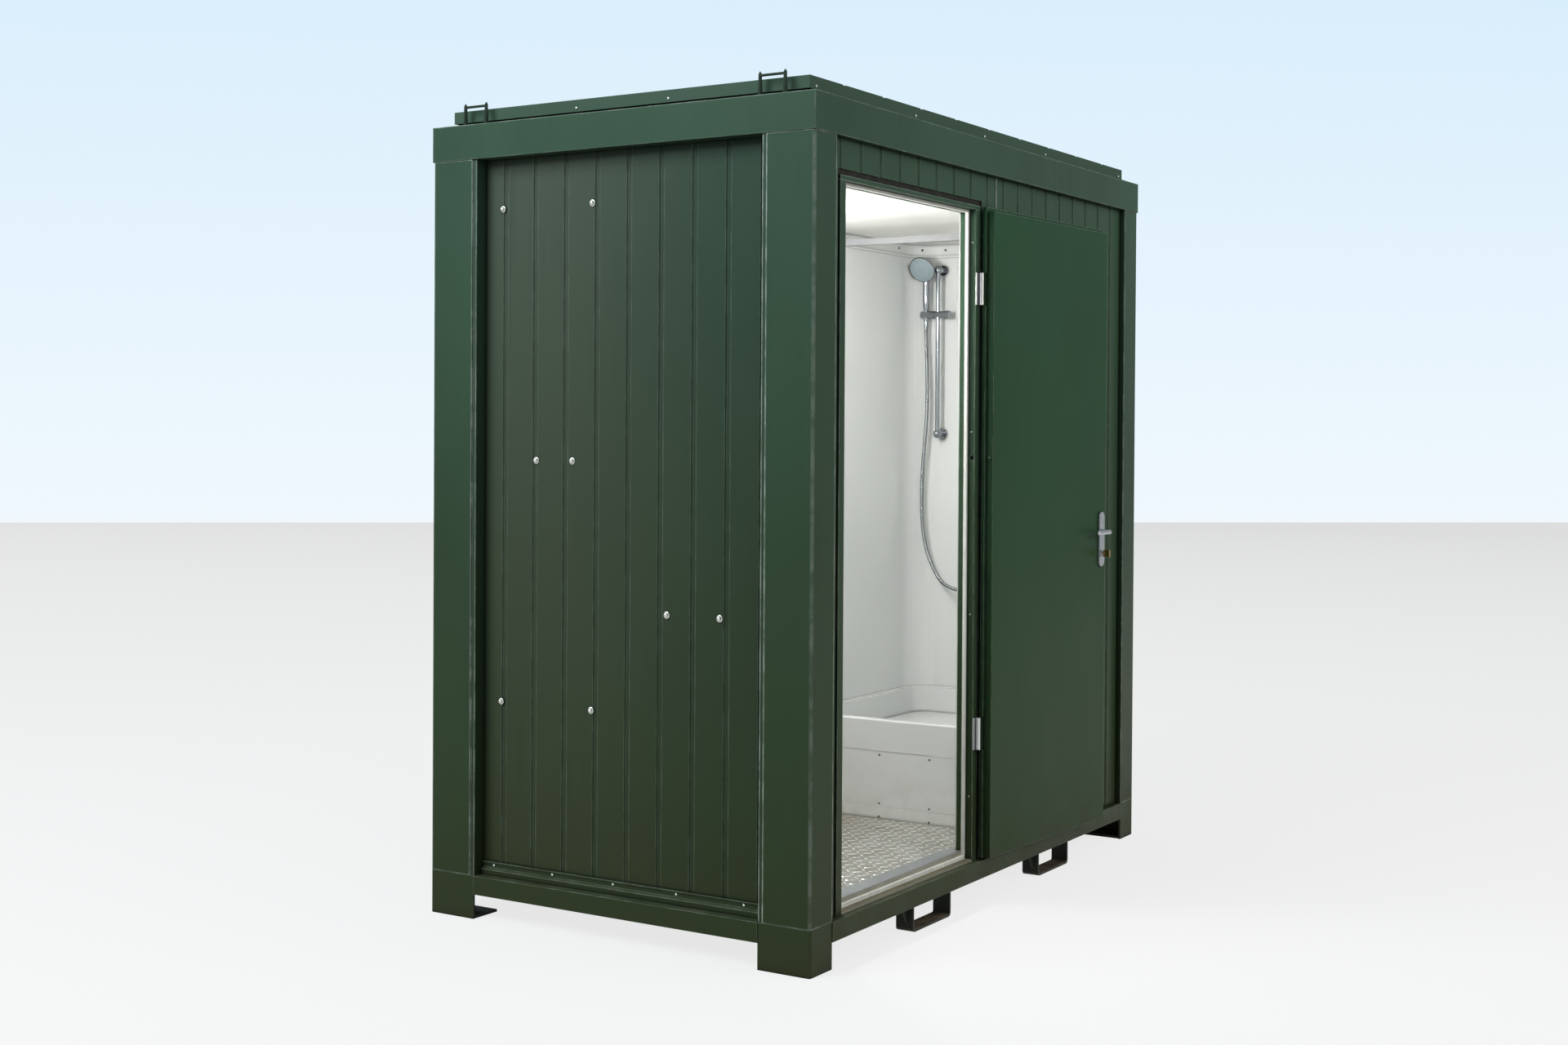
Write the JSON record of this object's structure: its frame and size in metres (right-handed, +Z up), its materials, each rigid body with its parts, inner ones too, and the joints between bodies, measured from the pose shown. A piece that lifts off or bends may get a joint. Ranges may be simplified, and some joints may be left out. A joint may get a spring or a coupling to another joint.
{
  "type": "portable toilet and shower unit",
  "caption": "Portable steel-framed sanitary cabin with an insulated door, a raised shower, a toilet, a basin and a water heater, on feet with fork pockets and lifting bails.",
  "frame": {"origin": "on the ground under the middle of the bounding box, with the door open as in the picture", "axes": "+X along the long side towards the shower end, +Y to the rear wall, +Z up"},
  "size_m": [2.404, 1.5356, 2.577],
  "materials": {
    "moss_paint": "satin",
    "strap_paint": "satin",
    "leaf_shell": "satin",
    "deck_board": "matte",
    "tread_aluminium": "satin",
    "black_rubber": "matte",
    "mineral_wool": "matte",
    "white_sheet": "satin",
    "diffuser": "satin",
    "white_enamel": "gloss",
    "bolt_zinc": "satin",
    "seal_white": "matte",
    "satin_lever": "satin",
    "brass": "satin",
    "white_acrylic": "gloss",
    "chrome": "polished",
    "silver_plastic": "gloss",
    "hose_silver": "satin",
    "ceramic": "gloss",
    "seat_plastic": "gloss",
    "pipe_grey": "satin"
  },
  "bodies": {
    "cabin": {"base_frame": "moss_paint", "corner_feet": "moss_paint", "fork_straps": "strap_paint", "floor_deck": "deck_board", "tread_plate": "tread_aluminium", "corner_posts": "moss_paint", "roof_frame": "moss_paint", "roof_upstand": "black_rubber", "roof_cap": "strap_paint", "lifting_bails": "moss_paint", "end_walls": "moss_paint", "rear_wall": "moss_paint", "front_wall": "moss_paint", "door_wall": "moss_paint", "joint_strips": "moss_paint", "insulation": "mineral_wool", "wall_linings": "white_sheet", "ceiling_panel": "white_sheet", "ceiling_light": "diffuser", "base_flashings": "moss_paint", "wall_bolts": "bolt_zinc", "sheet_screws": "bolt_zinc", "left_jamb": "moss_paint", "right_jamb": "moss_paint", "door_head": "moss_paint", "door_sill": "tread_aluminium", "door_gasket": "seal_white", "strike_plate": "bolt_zinc", "frame_hinges": "bolt_zinc", "shower_tray": "white_acrylic", "tray_legs": "bolt_zinc", "access_panels": "white_sheet", "pod_walls": "white_acrylic", "curtain_rail": "chrome", "riser_rail": "chrome", "shower_mixer": "chrome", "shower_hose": "hose_silver", "toilet_pan": "ceramic", "cistern": "ceramic", "wash_basin": "ceramic", "basin_tap": "chrome", "water_heater": "white_enamel", "pipework": "pipe_grey"},
    "door": {"door_leaf": "leaf_shell", "leaf_hinges": "bolt_zinc", "lock_case": "bolt_zinc", "handle_plates": "bolt_zinc"},
    "lever": {"lever_handles": "satin_lever"},
    "latch": {"latch_bolt": "brass"},
    "turn": {"thumbturn": "brass"},
    "bolt": {"dead_bolt": "bolt_zinc"},
    "slider": {"rail_slider": "chrome"},
    "handset": {"handset_holder": "chrome", "hand_shower": "silver_plastic"},
    "flow": {"flow_handle": "chrome"},
    "temperature": {"temperature_handle": "chrome"},
    "seat": {"toilet_seat": "seat_plastic"},
    "lid": {"toilet_lid": "seat_plastic"},
    "button": {"flush_button": "chrome"},
    "tap": {"tap_lever": "chrome"}
  },
  "joints": [
    {"name": "door_swing", "type": "hinge", "parent": "cabin", "child": "door", "pos_m": [-0.125, -0.64518, 1.2], "axis": [0, 0, 1], "range_deg": [-177, 0]},
    {"name": "lever_turn", "type": "hinge", "parent": "door", "child": "lever", "pos_m": [0.69869, -0.71088, 1.19], "axis": [-0.0523, -0.9986, 0], "range_deg": [0, 45], "stiffness_Nm_per_rad": 2, "springref_deg": -17.19},
    {"name": "latch_slide", "type": "slide", "parent": "door", "child": "latch", "axis": [-0.9986, 0.0523, 0], "range_m": [0, 0.014]},
    {"name": "thumbturn_turn", "type": "hinge", "parent": "door", "child": "turn", "pos_m": [0.69869, -0.71088, 1.112], "axis": [-0.0523, -0.9986, 0], "range_deg": [0, 90]},
    {"name": "bolt_slide", "type": "slide", "parent": "door", "child": "bolt", "axis": [0.9986, -0.0523, 0], "range_m": [0, 0.02]},
    {"name": "slider_slide", "type": "slide", "parent": "cabin", "child": "slider", "axis": [0, 0, 1], "range_m": [-0.42, 0.02], "deforming": ["shower_hose"]},
    {"name": "handset_tilt", "type": "hinge", "parent": "slider", "child": "handset", "pos_m": [1.04, 0.17382, 2.016], "axis": [0, -1, 0], "range_deg": [0, 30], "deforming": ["shower_hose"]},
    {"name": "flow_turn", "type": "hinge", "parent": "cabin", "child": "flow", "pos_m": [1.035, -0.18418, 1.055], "axis": [0, 1, 0], "range_deg": [0, 180]},
    {"name": "temperature_turn", "type": "hinge", "parent": "cabin", "child": "temperature", "pos_m": [1.035, -0.18418, 1.055], "axis": [0, 1, 0], "range_deg": [-120, 120]},
    {"name": "seat_lift", "type": "hinge", "parent": "cabin", "child": "seat", "pos_m": [-0.849, 0.34082, 0.585], "axis": [0, -1, 0], "range_deg": [0, 90]},
    {"name": "lid_lift", "type": "hinge", "parent": "cabin", "child": "lid", "pos_m": [-0.849, 0.34082, 0.585], "axis": [0, -1, 0], "range_deg": [-96, 0]},
    {"name": "flush_press", "type": "slide", "parent": "cabin", "child": "button", "axis": [0, 0, -1], "range_m": [0, 0.004], "stiffness_N_per_m": 600, "springref_m": -0.003},
    {"name": "tap_turn", "type": "hinge", "parent": "cabin", "child": "tap", "pos_m": [-1.059, -0.21218, 1.127], "axis": [0, 0, 1], "range_deg": [0, 90]}
  ],
  "couplings": [
    {"joint": "latch_slide", "follows": "lever_turn", "m_per_rad": 0.0178},
    {"joint": "thumbturn_turn", "follows": "bolt_slide", "rad_per_m": 78.5}
  ]
}
